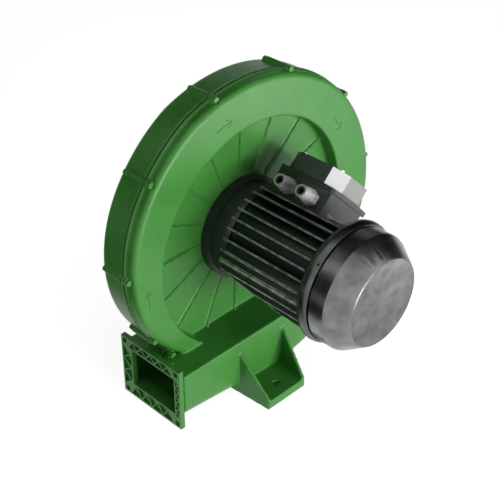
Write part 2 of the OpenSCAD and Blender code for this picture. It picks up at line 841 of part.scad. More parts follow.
module impeller_screw() {
    color("silver") {
        rod(impeller_screw_r, hub_end_y - 16, hub_end_y + washer_t, f = 24);
        hex_bar(13, hub_end_y + washer_t, hub_end_y + washer_t + 5);
    }
}

module shaft_seal() {
    color("black") tube(seal_r - fit_gap, shaft_end_r + run_gap, seat_y - 5, seat_y + register_l);
}

// Shaft with its steps: impeller seat, two bearing seats, rotor seat and fan seat
module motor_shaft() {
    color("silver") difference() {
        turned([[0, shaft_end_y], [shaft_end_r - 1, shaft_end_y], [shaft_end_r, shaft_end_y - 1],
            [shaft_end_r, drive_bearing_y + 1], [shaft_r, drive_bearing_y + 1],
            [shaft_r, drive_bearing_y - bearing_w], [shaft_mid_r, drive_bearing_y - bearing_w],
            [shaft_mid_r, fan_bearing_y], [shaft_r, fan_bearing_y],
            [shaft_r, fan_bearing_y - bearing_w - 2], [fan_shaft_r, fan_bearing_y - bearing_w - 2],
            [fan_shaft_r, shaft_tail_y], [0, shaft_tail_y]]);
        rod(impeller_screw_r + fit_gap, hub_end_y - 18, shaft_end_y + 1, f = 24);
        translate([-key_w / 2 - fit_gap, blade_y, key_top - key_h - fit_gap])
            cube([key_w + 2 * fit_gap, hub_l, key_h]);
        tube(fan_shaft_r + 1, fan_shaft_r - 1, circlip_y - 1.3, circlip_y + fit_gap);
    }
}

module rotor_core() {
    color("lightgray") tube(rotor_r, shaft_mid_r + fit_gap, core_y - core_l, core_y);
}

// Cast end rings of the rotor cage, each with small stirring fins
module rotor_end_rings() {
    color("gainsboro") for (side = [0, 1]) {
        root = side == 0 ? core_y : core_y - core_l;
        tip = side == 0 ? core_y + end_ring_t : core_y - core_l - end_ring_t;
        tube(rotor_r - 1, rotor_r - 12, root, tip);
        ring_of(8, rotor_r - 11) translate([0, side == 0 ? tip - eps : tip + eps - 5, -1.2]) cube([8, 5, 2.4]);
    }
}

// Laminated stator with slots open to the bore
module stator_core() {
    color("darkgray") difference() {
        tube(stator_r, rotor_r + air_gap, core_y - core_l, core_y);
        ring_of(slots, rotor_r - 2) translate([0, core_y - core_l - 1, -slot_w / 2])
            cube([slot_depth + 2, core_l + 2, slot_w]);
    }
}

// Copper coils: sides in the slots and a bundle at each end
module stator_windings() {
    color("peru") {
        for (y = [core_y + seat_gap, core_y - core_l - winding_l - seat_gap])
            tube(rotor_r + slot_depth - 1, rotor_r + 4, y, y + winding_l);
        ring_of(slots, rotor_r + 5) translate([0, core_y - core_l - 1, seat_gap - slot_w / 2])
            cube([slot_depth - 5 - seat_gap, core_l + 2, slot_w - 2 * seat_gap]);
    }
}

// Child stands in the turned frame of the motor
module motor_turn() {
    spin(box_angle) children();
}

// Bores or bars at the places of the screws of the end shields
module shield_screw_rods(r, y0, y1) {
    ring_of(4, shield_screw_circle) rod(r, y0, y1, f = 24);
}

// Finned barrel with the flat pad of the terminal box
module motor_frame() {
    color("darkslategray") difference() {
        intersection() {
            union() {
                rod(barrel_r, frame_end_y - 1, frame_y + 1);
                motor_turn() intersection() {
                    union() {
                        for (p = fin_places) translate([p - fin_t / 2, frame_end_y - 2, -fin_r])
                            cube([fin_t, frame_l + 4, 2 * fin_r]);
                        for (p = fin_places) translate([-fin_r, frame_end_y - 2, p - fin_t / 2])
                            cube([fin_r, frame_l + 4, fin_t]);
                    }
                    rod(fin_r, frame_end_y - 3, frame_y + 3);
                    translate([0, 0, -far]) linear_extrude(2 * far) polygon([[-fin_flat, frame_y + 3],
                        [barrel_r, frame_y + 3], [barrel_r, frame_end_y - 3], [-fin_r - 4, frame_end_y - 3]]);
                }
                motor_turn() translate([box_foot / 2, box_y - box_l, -pad_w / 2])
                    cube([box_foot / 2, box_l, pad_w]);
                shield_screw_rods(shield_boss_r, frame_end_y - 1, frame_y + 1);
            }
            rod(fin_r + 5, frame_end_y, frame_y);
        }
        rod(stator_r + fit_gap, frame_end_y - 1, frame_y + 1);
        motor_turn() translate([stator_r - 4, box_mid_y, 0]) rotate([0, 90, 0]) cylinder(r = lead_hole_r, h = 20);
        shield_screw_rods(shield_screw_r, frame_end_y - 1, frame_y + 1);
    }
}

// Shield with the mounting flange, its centring rims and the drive-end bearing seat
module drive_end_shield() {
    color("darkslategray") difference() {
        union() {
            tube(flange_r, seal_r, seat_y - flange_t, seat_y - seat_gap);
            tube(seat_hole_r - fit_gap, seal_r, seat_y - 1, seat_y + register_l);
            turned([[stator_r, frame_y + seat_gap], [barrel_r + 3, frame_y + seat_gap], [shield_r, frame_y + 6],
                [shield_r, seat_y - flange_t + 1], [stator_r, seat_y - flange_t + 1]]);
            tube(stator_r - fit_gap, stator_r - 4, frame_y - rim_l, frame_y + 2);
            tube(stator_r + 1, stator_r - 4, frame_y + 1, frame_y + 4);
            tube(bearing_out_r + 6, race_out_r, drive_bearing_y - bearing_w - 2, seat_y - flange_t + 1);
        }
        rod(bearing_out_r + fit_gap, drive_bearing_y - bearing_w - 3, drive_bearing_y);
        ring_of(4, flange_bolt_circle, 45) rod(flange_bolt_r, seat_y - flange_t - 9, seat_y + 1, f = 24);
        shield_screw_rods(shield_screw_r + bolt_gap, frame_y - 1, seat_y);
        shield_screw_rods(shield_head_r + bolt_gap, frame_y + 8, seat_y + 1);
    }
}

// Shield that closes the frame behind the fan and carries the second bearing
module fan_end_shield() {
    shield_end_y = frame_end_y - fan_shield_t;
    bearing_end_y = fan_bearing_y - bearing_w - spring_t;
    color("darkslategray") difference() {
        union() {
            tube(shield_r, bearing_out_r, shield_end_y, frame_end_y - seat_gap);
            tube(bearing_out_r + 6, bearing_out_r, shield_end_y, fan_bearing_y + 2);
            tube(bearing_out_r + 1, shaft_r + 1, shield_end_y, bearing_end_y);
            tube(stator_r - fit_gap, stator_r - 4, frame_end_y - 1, frame_end_y + rim_l);
        }
        rod(bearing_out_r + fit_gap, bearing_end_y, fan_bearing_y + 3);
        shield_screw_rods(shield_screw_r + bolt_gap, shield_end_y - 1, frame_end_y + 1);
        ring_of(4, cowl_web_circle, 45) rod(cowl_screw_r, shield_end_y - 1, frame_end_y - 3, f = 24);
    }
}

// Screws that hold both shields to the frame
module shield_screws() {
    color("silver") {
        shield_screw_rods(shield_screw_r - fit_gap, frame_y - 12, frame_y + 9);
        shield_screw_rods(shield_head_r, frame_y + 8, frame_y + 13);
        shield_screw_rods(shield_screw_r - fit_gap, frame_end_y - fan_shield_t - 1, frame_end_y + 12);
        shield_screw_rods(shield_head_r, frame_end_y - fan_shield_t - 4, frame_end_y - fan_shield_t);
    }
}

// Screws from inside the housing into the motor's mounting flange
module flange_bolts() {
    color("silver") ring_of(4, flange_bolt_circle, 45) {
        rod(flange_bolt_r - fit_gap, seat_y - flange_t + 1, seat_back_y - 1, f = 24);
        rod(flange_head_r, seat_back_y - flange_head_h, seat_back_y - 0.2, f = 24);
    }
}

// Ball bearing: y is its face towards the inlet
module bearing_outer_ring(y) {
    color("silver") rotate([90, 0, 0]) translate([0, 0, -y]) rotate_extrude() difference() {
        translate([race_out_r, 0]) square([bearing_out_r - race_out_r, bearing_w]);
        translate([ball_pitch_r, bearing_w / 2]) circle(r = ball_r + run_gap);
    }
}

module bearing_inner_ring(y) {
    color("silver") rotate([90, 0, 0]) translate([0, 0, -y]) rotate_extrude() difference() {
        translate([bearing_in_r + 0.02, 0]) square([race_in_r - bearing_in_r - 0.02, bearing_w]);
        translate([ball_pitch_r, bearing_w / 2]) circle(r = ball_r + run_gap);
    }
}

module bearing_balls(y) {
    color("gainsboro") ring_of(balls, ball_pitch_r) translate([0, y - bearing_w / 2, 0]) sphere(r = ball_r);
}

module bearing_cage(y) {
    color("goldenrod") difference() {
        tube(ball_pitch_r + cage_t / 2, ball_pitch_r - cage_t / 2, y - bearing_w / 2 - cage_w / 2,
            y - bearing_w / 2 + cage_w / 2);
        ring_of(balls, race_in_r) translate([0, y - bearing_w / 2, 0]) rotate([0, 90, 0])
            cylinder(r = ball_r + run_gap, h = race_out_r - race_in_r, $fn = 36);
    }
}

module wave_spring() {
    color("silver") tube(bearing_out_r - 0.3, race_out_r, fan_bearing_y - bearing_w - spring_t,
        fan_bearing_y - bearing_w);
}

// Moulded fan with straight blades, so that it works in both directions
module cooling_fan() {
    color("dimgray") {
        tube(fan_hub_r, fan_shaft_r + fit_gap, fan_y - fan_l, fan_y);
        tube(fan_r - 14, fan_hub_r - 1, fan_y - 3, fan_y);
        ring_of(8, fan_hub_r - 1) translate([0, fan_y - fan_l + 4, -1.2])
            cube([fan_r - fan_hub_r, fan_l - 4, 2.4]);
    }
}

module fan_circlip() {
    color("silver") tube(fan_shaft_r + 3, fan_shaft_r - 1 + fit_gap, circlip_y - 1.2, circlip_y);
}

// Bulged ring that carries the cowl; its web has windows for the cooling air
module cowl_ring() {
    color("black") difference() {
        union() {
            turned([[collar_r + fit_gap, cowl_ring_y], [cowl_r + 1, cowl_ring_y], [ring_out_r - 1.5, cowl_ring_y - 3],
                [ring_out_r, cowl_ring_y - 0.5 * cowl_ring_l], [ring_out_r - 1, cowl_ring_y - 0.8 * cowl_ring_l],
                [cowl_r + 1.5, slot_y], [collar_r + fit_gap, slot_y]]);
            tube(collar_r + 1, cowl_web_r, cowl_web_y - web_t, cowl_web_y);
        }
        ring_of(windows, cowl_web_r + 9) translate([0, cowl_web_y - web_t - 1, -window_w / 2])
            cube([collar_r - cowl_web_r - 11, web_t + 2, window_w]);
        ring_of(4, cowl_web_circle, 45) rod(cowl_screw_r + bolt_gap, cowl_web_y - web_t - 1, cowl_web_y + 1, f = 24);
        ring_of(4, 0, 45) translate([collar_r - 1, collar_screw_y, 0]) rotate([0, 90, 0])
            cylinder(r = cowl_screw_r + bolt_gap, h = 12, $fn = 24);
    }
}

// Spun cowl with a closed end; air enters through the slot behind its band
module fan_cowl() {
    color("dimgray") difference() {
        union() {
            turned([[0, cowl_end_y], [cowl_end_r - 2, cowl_end_y], [cowl_end_r, cowl_end_y + 1.5],
                [cowl_r - 1.5, cone_y], [cowl_r, cone_y + 4], [cowl_r, band_y],
                [cowl_r - cowl_t, band_y], [cowl_r - cowl_t, cone_y + 4], [cowl_r - cowl_t - 1.5, cone_y + 0.5],
                [cowl_end_r - cowl_t, cowl_end_y + 2.5], [cowl_end_r - 3, cowl_end_y + cowl_t],
                [0, cowl_end_y + cowl_t]]);
            tube(collar_r, collar_r - cowl_t, band_y - 4, collar_y);
            tube(cowl_r - cowl_t / 2, collar_r - cowl_t / 2, band_y - 4, band_y - 2);
        }
        ring_of(windows, collar_r - 4) translate([0, band_y, -window_w / 2]) cube([8, air_slot, window_w]);
        ring_of(4, 0, 45) translate([collar_r - 4, collar_screw_y, 0]) rotate([0, 90, 0])
            cylinder(r = cowl_screw_r, h = 12, $fn = 24);
    }
}

module cowl_screws() {
    color("black") {
        ring_of(4, cowl_web_circle, 45) {
            rod(cowl_screw_r - fit_gap, cowl_web_y - web_t, frame_end_y - 4, f = 24);
            rod(2 * cowl_screw_r, cowl_web_y - web_t - 2.5, cowl_web_y - web_t, f = 24);
        }
        ring_of(4, 0, 45) translate([0, collar_screw_y, 0]) rotate([0, 90, 0]) {
            translate([0, 0, collar_r - cowl_t - 0.4])
                cylinder(r = cowl_screw_r - fit_gap, h = ring_out_r - collar_r + cowl_t - 2.5, $fn = 24);
        }
    }
}

// Plan of the terminal box as points [y, z], with its corners cut
function box_plan(inset, chamfer) = let (a = box_l / 2 - inset, b = box_w / 2 - inset, c = chamfer)
    [[-a + c, -b], [a - c, -b], [a, -b + c], [a, b - c], [a - c, b], [-a + c, b], [-a, b - c], [-a, -b + c]];

module box_slab(x0, x1, inset, chamfer) {
    translate([x0, box_mid_y, 0]) rotate([90, 0, 90]) linear_extrude(x1 - x0) polygon(box_plan(inset, chamfer));
}

module lid_screw_places() {
    for (y = [-1, 1], z = [-1, 1])
        translate([0, box_mid_y + y * (box_l / 2 - lid_screw_in), z * (box_w / 2 - lid_screw_in)]) rotate([0, 90, 0])
            children();
}

// Base that sits astride the pad of the frame, with posts for the lid screws
module terminal_box_base() {
    floor_x = box_foot + seat_gap + box_wall;
    color("darkslategray") motor_turn() difference() {
        union() {
            difference() {
                union() {
                    box_slab(box_skirt, box_rim, 0, 2);
                    box_slab(box_rim - 7, box_rim, -1, 4);
                    translate([box_rim - 8, box_y - box_l + 1, -box_w / 2 - 9]) cube([8, 13, 12]);
                }
                box_slab(floor_x, box_rim + 1, box_wall, 2);
                translate([box_skirt + box_wall, box_y - box_l + box_wall, box_w / 2 - box_wall - trench_w])
                    cube([box_rim, box_l - 2 * box_wall, trench_w]);
            }
            translate([floor_x - 2, 0, 0]) lid_screw_places() cylinder(r = lid_post_r, h = box_rim - floor_x + 2);
        }
        translate([0, box_y - box_l - 1, -pad_w / 2 - bolt_gap])
            cube([box_foot + seat_gap, box_l + 2, pad_w + 2 * bolt_gap]);
        translate([box_foot - 1, box_mid_y, 0]) rotate([0, 90, 0]) cylinder(r = lead_hole_r, h = box_wall + 3);
        for (y = [gland_y1, gland_y2]) translate([gland_h, y, box_w / 2 - box_wall - 1])
            cylinder(r = gland_thread_r + fit_gap, h = box_wall + 3);
        translate([box_rim - 14, 0, 0]) lid_screw_places() cylinder(r = lid_screw_r, h = 16, $fn = 24);
    }
}

module terminal_box_gasket() {
    color("black") motor_turn() difference() {
        box_slab(box_rim, lid_y, eps, lid_chamfer);
        difference() {
            box_slab(box_rim - 1, lid_y + 1, box_wall, lid_chamfer);
            translate([box_rim - 2, 0, 0]) lid_screw_places() cylinder(r = lid_post_r, h = 5);
        }
        translate([box_rim - 1, 0, 0]) lid_screw_places() cylinder(r = lid_screw_r + bolt_gap, h = 4, $fn = 24);
    }
}

module terminal_box_lid() {
    color("gray") motor_turn() difference() {
        box_slab(lid_y, lid_y + lid_h, 0, lid_chamfer);
        difference() {
            box_slab(lid_y - 1, lid_y + lid_h - lid_t, lid_t, lid_chamfer);
            translate([lid_y - 2, 0, 0]) lid_screw_places() cylinder(r = lid_post_r, h = lid_h + 3);
        }
        translate([lid_y - 1, 0, 0]) lid_screw_places() cylinder(r = lid_screw_r + bolt_gap, h = lid_h + 2, $fn = 24);
    }
}

module lid_screws() {
    color("silver") motor_turn() lid_screw_places() {
        translate([0, 0, box_rim - 10])
            cylinder(r = lid_screw_r - fit_gap, h = lid_y + lid_h - box_rim + 11, $fn = 24);
        translate([0, 0, lid_y + lid_h]) cylinder(r = 2 * lid_screw_r, h = 2.2, $fn = 24);
    }
}

// Insulating block that carries the studs
module terminal_board() {
    color("saddlebrown") motor_turn() {
        translate([board_x, box_mid_y - board_l / 2, -board_w / 2]) cube([board_t, board_l, board_w]);
        for (y = [-1, 1]) translate([box_foot + seat_gap + box_wall, box_mid_y + y * (board_l / 2 - 5), 0])
            rotate([0, 90, 0]) cylinder(r = 4, h = board_x - box_foot - box_wall, $fn = 24);
    }
}

// Studs with their nuts on the links
module terminal_studs() {
    color("goldenrod") motor_turn() for (y = [-1, 0, 1], z = [-1, 1])
        translate([board_x + board_t, box_mid_y + y * stud_pitch, z * stud_pitch / 2]) rotate([0, 90, 0]) {
            cylinder(r = stud_r, h = stud_l, $fn = 24);
            translate([0, 0, link_t]) cylinder(r = 2 * stud_r, h = 3, $fn = 6);
        }
}

module terminal_links() {
    color("goldenrod") motor_turn() for (y = [-1, 0, 1])
        translate([board_x + board_t, box_mid_y + y * stud_pitch, 0]) difference() {
            translate([0, -4, -stud_pitch / 2 - 5]) cube([link_t, 8, stud_pitch + 10]);
            for (z = [-1, 1]) translate([-1, 0, z * stud_pitch / 2]) rotate([0, 90, 0])
                cylinder(r = stud_r + fit_gap, h = 4, $fn = 24);
        }
}

module earth_screw() {
    color("goldenrod") motor_turn()
        translate([box_foot + seat_gap + box_wall, box_mid_y, -board_w / 2 - 12]) rotate([0, 90, 0]) {
        cylinder(r = 2.5, h = 9, $fn = 24);
        cylinder(r = 5, h = 3, $fn = 6);
    }
}

module gland_places() {
    motor_turn() for (y = [gland_y1, gland_y2]) translate([gland_h, y, box_w / 2]) children();
}

// Threaded bodies, open through their middle
module gland_bodies() {
    color("darkgray") gland_places() difference() {
        union() {
            translate([0, 0, -box_wall - 4]) cylinder(r = gland_thread_r, h = gland_nut_z + box_wall + 12);
            cylinder(r = gland_hex_r, h = gland_nut_z - fit_gap, $fn = 6);
        }
        translate([0, 0, -box_wall - 5]) cylinder(r = gland_seal_r, h = gland_l);
    }
}

// Domed nuts that squeeze the seals
module gland_nuts() {
    color("gray") gland_places() difference() {
        union() {
            translate([0, 0, gland_nut_z]) cylinder(r = gland_hex_r - 1, h = 11, $fn = 6);
            translate([0, 0, gland_nut_z + 11 - eps])
                cylinder(r1 = gland_thread_r + 2.4, r2 = gland_thread_r + 1, h = gland_l - gland_nut_z - 11 + eps);
        }
        translate([0, 0, gland_nut_z - 1]) cylinder(r = gland_thread_r + fit_gap, h = 10);
        translate([0, 0, gland_nut_z]) cylinder(r = gland_seal_r, h = gland_l);
    }
}

module gland_seals() {
    color("black") gland_places() difference() {
        cylinder(r = gland_seal_r - fit_gap, h = gland_l - 1.5);
        translate([0, 0, -1]) cylinder(r = gland_bore_r, h = gland_l + 2);
    }
}

front_housing();
rear_housing();
housing_gasket();
housing_bolts();
housing_nuts();
outlet_flange();
outlet_flange_screws();
inlet_flange();
inlet_screws();
impeller_backplate();
impeller_blades();
impeller_shroud();
impeller_hub();
impeller_rivets();
impeller_key();
impeller_washer();
impeller_screw();
shaft_seal();
motor_shaft();
rotor_core();
rotor_end_rings();
stator_core();
stator_windings();
motor_frame();
drive_end_shield();
fan_end_shield();
shield_screws();
flange_bolts();
bearing_outer_ring(drive_bearing_y);  // drive_bearing_outer_ring
bearing_inner_ring(drive_bearing_y);  // drive_bearing_inner_ring
bearing_balls(drive_bearing_y);  // drive_bearing_balls
bearing_cage(drive_bearing_y);  // drive_bearing_cage
bearing_outer_ring(fan_bearing_y);  // fan_bearing_outer_ring
bearing_inner_ring(fan_bearing_y);  // fan_bearing_inner_ring
bearing_balls(fan_bearing_y);  // fan_bearing_balls
bearing_cage(fan_bearing_y);  // fan_bearing_cage
wave_spring();
cooling_fan();
fan_circlip();
cowl_ring();
fan_cowl();
cowl_screws();
terminal_box_base();
terminal_box_gasket();
terminal_box_lid();
lid_screws();
terminal_board();
terminal_studs();
terminal_links();
earth_screw();
gland_bodies();
gland_nuts();
gland_seals();
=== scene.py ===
import math
import bmesh
import bpy
from mathutils import Matrix, Vector


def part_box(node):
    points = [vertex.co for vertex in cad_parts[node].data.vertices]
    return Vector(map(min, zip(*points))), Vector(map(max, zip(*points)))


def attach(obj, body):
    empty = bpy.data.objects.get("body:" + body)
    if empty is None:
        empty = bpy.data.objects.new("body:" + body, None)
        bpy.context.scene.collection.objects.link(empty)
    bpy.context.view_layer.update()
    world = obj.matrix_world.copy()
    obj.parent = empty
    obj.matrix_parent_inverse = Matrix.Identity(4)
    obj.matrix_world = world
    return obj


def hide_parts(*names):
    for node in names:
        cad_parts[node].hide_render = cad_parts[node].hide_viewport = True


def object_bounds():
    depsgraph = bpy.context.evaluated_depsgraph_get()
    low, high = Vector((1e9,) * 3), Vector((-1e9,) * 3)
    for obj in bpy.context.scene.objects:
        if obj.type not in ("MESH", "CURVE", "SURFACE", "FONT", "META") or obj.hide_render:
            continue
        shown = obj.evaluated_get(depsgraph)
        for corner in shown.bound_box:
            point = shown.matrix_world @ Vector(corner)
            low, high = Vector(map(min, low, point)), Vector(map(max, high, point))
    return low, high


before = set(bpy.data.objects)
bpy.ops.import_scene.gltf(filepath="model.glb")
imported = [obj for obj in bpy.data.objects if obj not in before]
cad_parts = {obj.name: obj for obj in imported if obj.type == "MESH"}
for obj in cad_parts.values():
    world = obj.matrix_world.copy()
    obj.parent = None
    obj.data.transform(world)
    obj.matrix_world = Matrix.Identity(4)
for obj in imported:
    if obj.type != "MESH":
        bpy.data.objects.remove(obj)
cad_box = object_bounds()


# Camera. It stands to the left of the motor's free end and above it, and looks down along the
# diagonal, so that the motor comes towards the viewer and the outlet is at the lower left.
camera = bpy.data.objects.new("camera", bpy.data.cameras.new("camera"))
bpy.context.scene.collection.objects.link(camera)
camera.data.lens = 82.08
camera.data.sensor_width = 36
camera.location = (-0.984, -1.064, 0.923)
right = Vector((0.70711, -0.70711, 0))
up = Vector((0.40153, 0.40153, 0.82315)).normalized()
camera.rotation_mode = "QUATERNION"
camera.rotation_quaternion = Matrix((right, up, right.cross(up))).transposed().to_quaternion()
camera.data.clip_start = 0.05
camera.data.clip_end = 30
bpy.context.scene.camera = camera


# Studio. A pale paper floor, a white room that only the camera and the reflections see, and soft
# boxes, the key one low on the motor's side. Black cloths out of the picture keep the white room
# out of the reflections, so that the green stays deep and the cowl shows dark bands.
bpy.context.scene.view_settings.view_transform = "Standard"


def linear(hex_colour):
    """The linear colour of an sRGB hex value."""
    channels = [int(hex_colour[i:i + 2], 16) / 255 for i in (1, 3, 5)]
    return (*(c / 12.92 if c <= 0.04045 else ((c + 0.055) / 1.055) ** 2.4 for c in channels), 1)


def add(tree, kind, inputs, **settings):
    """Adds a node with its settings, its values and its links."""
    node = tree.nodes.new(kind)
    for name, value in settings.items():
        setattr(node, name, value)
    for socket, value in inputs.items():
        if isinstance(value, bpy.types.NodeSocket):
            tree.links.new(value, node.inputs[socket])
        else:
            node.inputs[socket].default_value = value
    return node


world = bpy.data.worlds.new("studio")
bpy.context.scene.world = world
world.use_nodes = True
sky = world.node_tree
sky.nodes.clear()
rays = add(sky, "ShaderNodeLightPath", {})
seen = add(sky, "ShaderNodeMath", {
    0: rays.outputs["Is Camera Ray"], 1: rays.outputs["Is Glossy Ray"]}, operation="MAXIMUM")
seen = add(sky, "ShaderNodeMath", {
    0: seen.outputs[0], 1: rays.outputs["Is Transmission Ray"]}, operation="MAXIMUM")
fill = add(sky, "ShaderNodeBackground", {"Color": linear("#ffffff"), "Strength": 0.17})
white = add(sky, "ShaderNodeBackground", {"Color": linear("#ffffff"), "Strength": 1.0})
mix = add(sky, "ShaderNodeMixShader", {0: seen.outputs[0], 1: fill.outputs[0], 2: white.outputs[0]})
add(sky, "ShaderNodeOutputWorld", {"Surface": mix.outputs[0]})

floor_mesh = bmesh.new()
bmesh.ops.create_grid(floor_mesh, x_segments=1, y_segments=1, size=6)
floor = bpy.data.objects.new("floor", bpy.data.meshes.new("floor"))
floor_mesh.to_mesh(floor.data)
floor_mesh.free()
floor.location.z = cad_box[0].z - 0.0002
bpy.context.scene.collection.objects.link(floor)
paper = bpy.data.materials.new("matte_paper_sheet")
paper.use_nodes = True
sheet = paper.node_tree
sheet.nodes.clear()
rays = add(sheet, "ShaderNodeLightPath", {})
shaded = add(sheet, "ShaderNodeBsdfDiffuse", {"Color": linear("#f2f2f2")})
glow = add(sheet, "ShaderNodeEmission", {"Color": linear("#ffffff"), "Strength": 0.78})
both = add(sheet, "ShaderNodeAddShader", {0: shaded.outputs[0], 1: glow.outputs[0]})
seen = add(sheet, "ShaderNodeMath", {
    0: rays.outputs["Is Camera Ray"], 1: rays.outputs["Is Glossy Ray"]}, operation="MAXIMUM")
mix = add(sheet, "ShaderNodeMixShader", {0: seen.outputs[0], 1: shaded.outputs[0], 2: both.outputs[0]})
add(sheet, "ShaderNodeOutputMaterial", {"Surface": mix.outputs[0]})
floor.data.materials.append(paper)


def soft_box(name, location, target, size, power):
    """A soft box that faces a point, with its power in watts."""
    lamp = bpy.data.objects.new(name, bpy.data.lights.new(name, "AREA"))
    lamp.data.shape = "RECTANGLE"
    lamp.data.size, lamp.data.size_y = size
    lamp.data.energy = power
    lamp.location = location
    lamp.rotation_euler = (Vector(target) - Vector(location)).to_track_quat("-Z", "Y").to_euler()
    bpy.context.scene.collection.objects.link(lamp)


soft_box("soft_box_key", (0.1, -2.2, 0.05), (0, -0.1, 0), (1.2, 0.52), 44)
soft_box("soft_box_top", (-0.3, -0.9, 1.9), (0, -0.1, 0), (1.0, 1.0), 5)
soft_box("soft_box_left", (-2.0, 0.5, 0.1), (-0.1, -0.1, 0), (1.2, 1.2), 7)
for name in ("soft_box_top", "soft_box_left"):
    bpy.data.objects[name].visible_glossy = False
soft_box("sheen_card", (0.5, -0.8, -0.2), (-0.07, -0.09, 0.21), (0.4, 0.25), 2.8)
bpy.data.objects["sheen_card"].visible_diffuse = False

velvet = bpy.data.materials.new("black_velvet_on_studio_flags")
velvet.use_nodes = True
nap = velvet.node_tree
nap.nodes.clear()
pile = add(nap, "ShaderNodeTexNoise", {"Scale": 400.0})
dark = add(nap, "ShaderNodeMapRange", {"Value": pile.outputs["Fac"], "To Min": 0.004, "To Max": 0.01})
add(nap, "ShaderNodeOutputMaterial", {
    "Surface": add(nap, "ShaderNodeBsdfDiffuse", {"Color": dark.outputs[0]}).outputs[0]})


def studio_flag(name, location, target, size):
    """A black cloth out of the picture, which only the reflections see."""
    cloth = bmesh.new()
    bmesh.ops.create_grid(cloth, x_segments=1, y_segments=1, size=1)
    flag = bpy.data.objects.new(name, bpy.data.meshes.new(name))
    cloth.to_mesh(flag.data)
    cloth.free()
    flag.data.materials.append(velvet)
    flag.location = location
    flag.scale = (size[0] / 2, size[1] / 2, 1)
    flag.rotation_euler = (Vector(target) - Vector(location)).to_track_quat("-Z", "Y").to_euler()
    bpy.context.scene.collection.objects.link(flag)
    for kind in ("visible_camera", "visible_diffuse", "visible_shadow", "visible_transmission"):
        setattr(flag, kind, False)


studio_flag("flag_above", (1.1, 0.0, 2.1), (0, -0.2, 0), (3.4, 2.6))
studio_flag("flag_right", (2.2, -0.2, 0.75), (0, -0.2, 0.3), (3.0, 1.9))
studio_flag("flag_behind", (-2.0, 1.5, 0.8), (0, -0.1, 0.1), (3.4, 2.0))
studio_flag("flag_on_floor", (-1.0, 0.65, floor.location.z + 0.002), (-1.0, 0.65, 1), (1.4, 1.9))
studio_flag("flag_high_behind", (0.1, 1.5, 2.0), (0, -0.1, 0.2), (2.4, 1.6))


# Rear half of the housing. A sand casting in aluminium with a rim, bolt bosses, the rear foot
# and the back of the duct. Its corners are filleted as the mould leaves them, and it is sprayed
# with a semi-gloss green enamel that keeps a faint orange-peel over the sand's grain.
def start_material(name):
    """An empty node material, its tree and the part's own coordinates in metres."""
    material = bpy.data.materials.new(name)
    material.use_nodes = True
    material.node_tree.nodes.clear()
    place = add(material.node_tree, "ShaderNodeTexCoord", {}).outputs["Object"]
    return material, material.node_tree, place


# Semi-gloss enamel: a deep green with soft clouds, gentle waves of the sand and fine orange-peel.
green_enamel, tree, place = start_material("green_enamel_sprayed_on_sand_casting")
clouds = add(tree, "ShaderNodeTexNoise", {"Vector": place, "Scale": 1 / 0.05, "Detail": 4.0})
tint = add(tree, "ShaderNodeValToRGB", {"Fac": clouds.outputs["Fac"]})
tint.color_ramp.elements[0].position, tint.color_ramp.elements[0].color = 0.3, linear("#377a2c")
tint.color_ramp.elements[1].position, tint.color_ramp.elements[1].color = 0.7, linear("#408436")
waves = add(tree, "ShaderNodeTexNoise", {"Vector": place, "Scale": 1 / 0.022, "Detail": 1.0})
peel = add(tree, "ShaderNodeTexNoise", {"Vector": place, "Scale": 1 / 0.0016, "Detail": 2.0})
mould = add(tree, "ShaderNodeBump", {"Height": waves.outputs["Fac"], "Strength": 0.3, "Distance": 0.0008})
coat = add(tree, "ShaderNodeBump", {
    "Height": peel.outputs["Fac"], "Normal": mould.outputs[0], "Strength": 0.18, "Distance": 0.0002})
shine = add(tree, "ShaderNodeMapRange", {"Value": clouds.outputs["Fac"], "To Min": 0.34, "To Max": 0.46})
add(tree, "ShaderNodeOutputMaterial", {"Surface": add(tree, "ShaderNodeBsdfPrincipled", {
    "Base Color": tint.outputs[0], "Roughness": shine.outputs[0], "IOR": 1.5, "Specular IOR Level": 0.35,
    "Normal": coat.outputs[0]}).outputs[0]})


def put_in_place(piece, node, body, material):
    """The piece takes the place of a CAD solid, on its body and with its finish."""
    bpy.context.scene.collection.objects.link(piece)
    piece.data.materials.clear()
    piece.data.materials.append(material)
    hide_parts(node)
    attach(piece, body)


def filleted_casting(node, material):
    """A CAD solid as one skin with a fillet in every corner, as a mould leaves it."""
    piece = bpy.data.objects.new(node + "_casting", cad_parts[node].data.copy())
    put_in_place(piece, node, "housing_and_motor", material)
    skin_over = piece.modifiers.new("skin_over", "REMESH")
    skin_over.mode = "VOXEL"
    skin_over.voxel_size = 0.0014
    skin_over.use_smooth_shade = True
    fillets = piece.modifiers.new("fillets", "SMOOTH")
    fillets.factor, fillets.iterations = 0.5, 5
    thin_out = piece.modifiers.new("thin_out", "DECIMATE")
    thin_out.ratio = 0.4
    return piece


filleted_casting("rear_housing", green_enamel)


# Inlet flange. A turned and cast spool with a smooth bore, sprayed with the housing. Its screws
# are plain zinc-plated ones, which show the fine lines of the plating.
sharp_fold = math.radians(32)
flat_fold = math.radians(0.6)


def rounded_copy(node, width):
    """A CAD solid's copy with whole flat faces and rounded edges, as a tool or a mould leaves them."""
    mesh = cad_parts[node].data.copy()
    work = bmesh.new()
    work.from_mesh(mesh)
    bmesh.ops.remove_doubles(work, verts=work.verts, dist=2e-6)
    bmesh.ops.dissolve_limit(work, angle_limit=flat_fold, verts=work.verts, edges=work.edges)
    work.to_mesh(mesh)
    work.free()
    mesh.shade_smooth()
    mesh.set_sharp_from_angle(angle=sharp_fold)
    piece = bpy.data.objects.new(node + "_rounded", mesh)
    edges = piece.modifiers.new("edges", "BEVEL")
    edges.width, edges.segments = width, 2
    edges.limit_method, edges.angle_limit = "ANGLE", sharp_fold
    edges.use_clamp_overlap = True
    edges.harden_normals = True
    return piece


